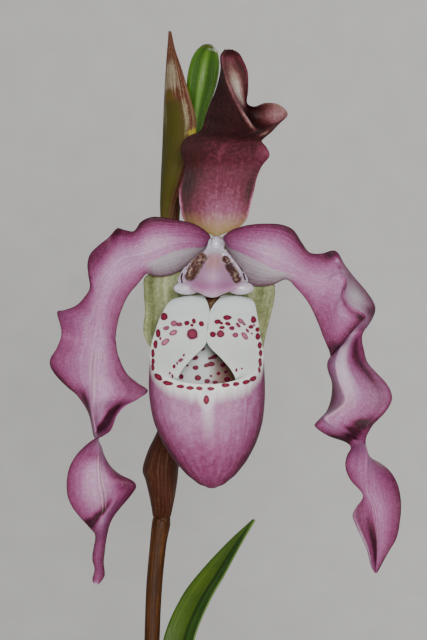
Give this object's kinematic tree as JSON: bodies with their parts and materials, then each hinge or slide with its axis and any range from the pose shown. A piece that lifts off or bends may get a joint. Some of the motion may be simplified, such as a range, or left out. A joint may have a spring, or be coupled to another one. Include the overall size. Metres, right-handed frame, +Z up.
{
  "type": "potted phragmipedium orchid",
  "caption": "Potted phragmipedium orchid with a mauve slipper flower, long twisted petals, a bud above it and a fan of strap leaves.",
  "frame": {"origin": "centre of the pot's flat underside", "axes": "+Z up along the scape; the flower faces -Y, with +X to the viewer's right"},
  "size_m": [0.2951, 0.2889, 0.4654],
  "materials": {
    "dorsal": "satin petal, pale below and dark red-brown at the tip",
    "sepal": "satin petal, pale yellow-green",
    "petal": "satin petal, mauve with darker margins",
    "pouch": "waxy, mauve outside and white with spots inside",
    "column": "waxy and glossy, pale pink",
    "ovary": "satin, olive brown",
    "scape": "satin, amber brown",
    "bract": "dry, red-brown with grey streaks",
    "sheath": "dry and papery, tan over olive",
    "bud": "waxy green with paler ridges",
    "leaf": "leathery, satin green",
    "root": "matt tan",
    "mix": "rough bark",
    "pot": "matt terracotta-brown plastic"
  },
  "bodies": {
    "root": {"dorsal_sepal": "dorsal", "synsepal": "sepal", "petal_left": "petal", "petal_right": "petal", "pouch": "pouch", "column": "column", "ovary": "ovary", "scape": "scape", "scape_bract": "bract", "floral_bract": "bract", "bud_sheath": "sheath", "bud": "bud", "leaf_flower_side": "leaf", "leaf_right_2": "leaf", "leaf_right_3": "leaf", "leaf_right_4": "leaf", "leaf_left_1": "leaf", "leaf_left_2": "leaf", "leaf_left_3": "leaf", "leaf_left_4": "leaf", "rootstock": "root", "potting_mix": "mix", "pot": "pot"}
  },
  "joints": []
}
